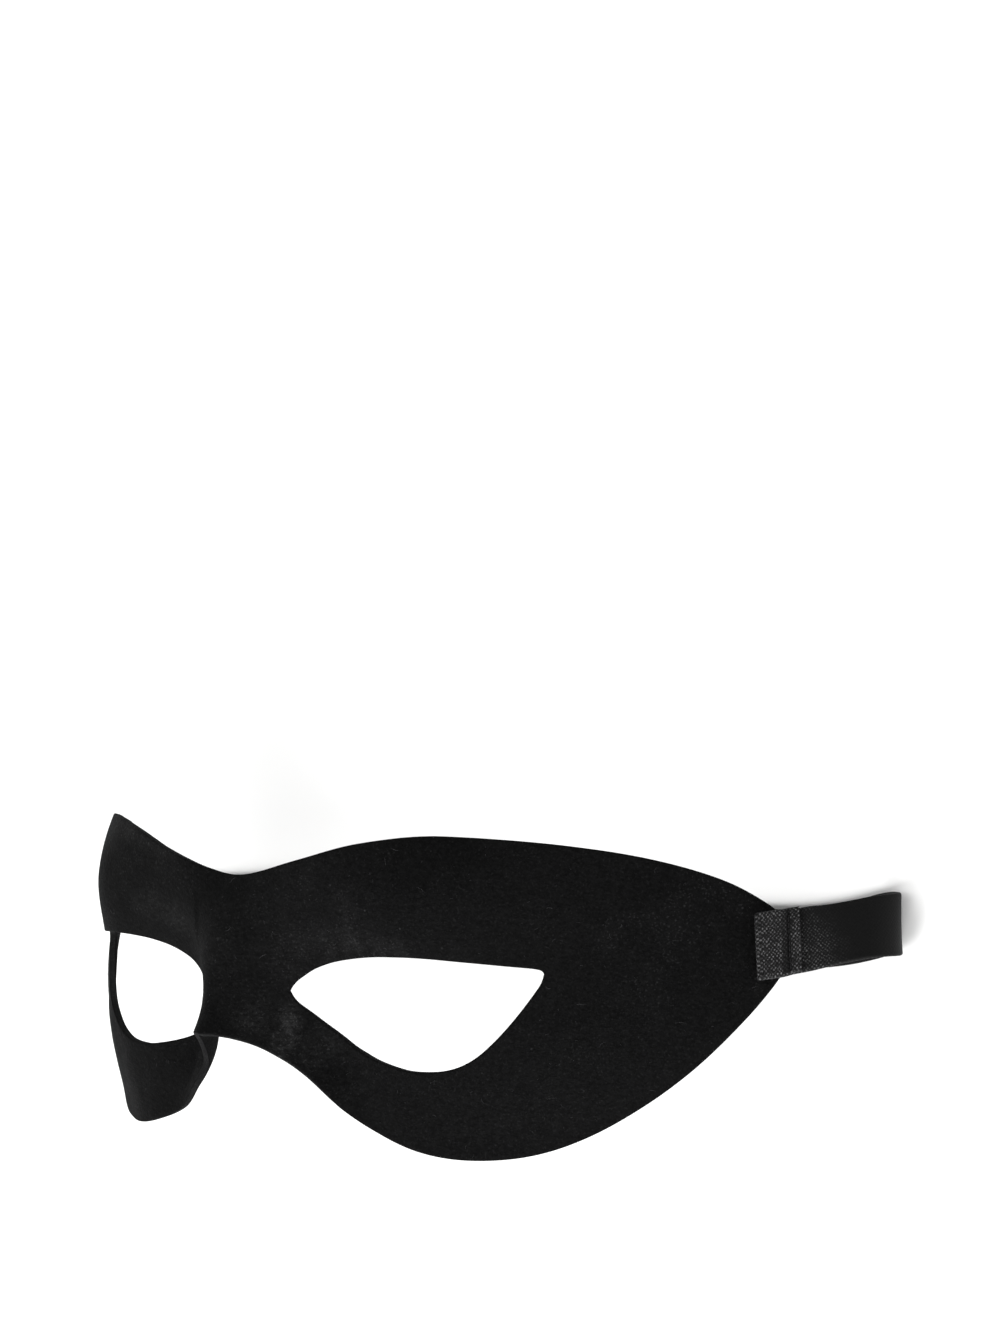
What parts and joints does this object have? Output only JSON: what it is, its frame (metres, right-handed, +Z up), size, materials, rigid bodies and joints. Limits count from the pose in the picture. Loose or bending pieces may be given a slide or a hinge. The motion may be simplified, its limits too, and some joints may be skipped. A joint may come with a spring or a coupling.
{
  "type": "eye mask",
  "caption": "Plain black masquerade eye mask: a moulded napped sheet with a nose bridge and two eye openings, held on the face by a flat elastic band.",
  "frame": {"origin": "on the floor under the middle of the whole part, as it lies", "axes": "+Z up out of the mask's face, +Y towards the brow, +X towards the wearer's left"},
  "size_m": [0.22, 0.0632, 0.0904],
  "materials": {
    "napped_sheet": "matt black suede-like nap moulded on a stiff sheet, dull",
    "elastic_webbing": "black knitted elastic, flat, slightly glossier than the sheet"
  },
  "bodies": {
    "root": {"mask_sheet": "napped_sheet", "elastic_band": "elastic_webbing"}
  },
  "joints": []
}
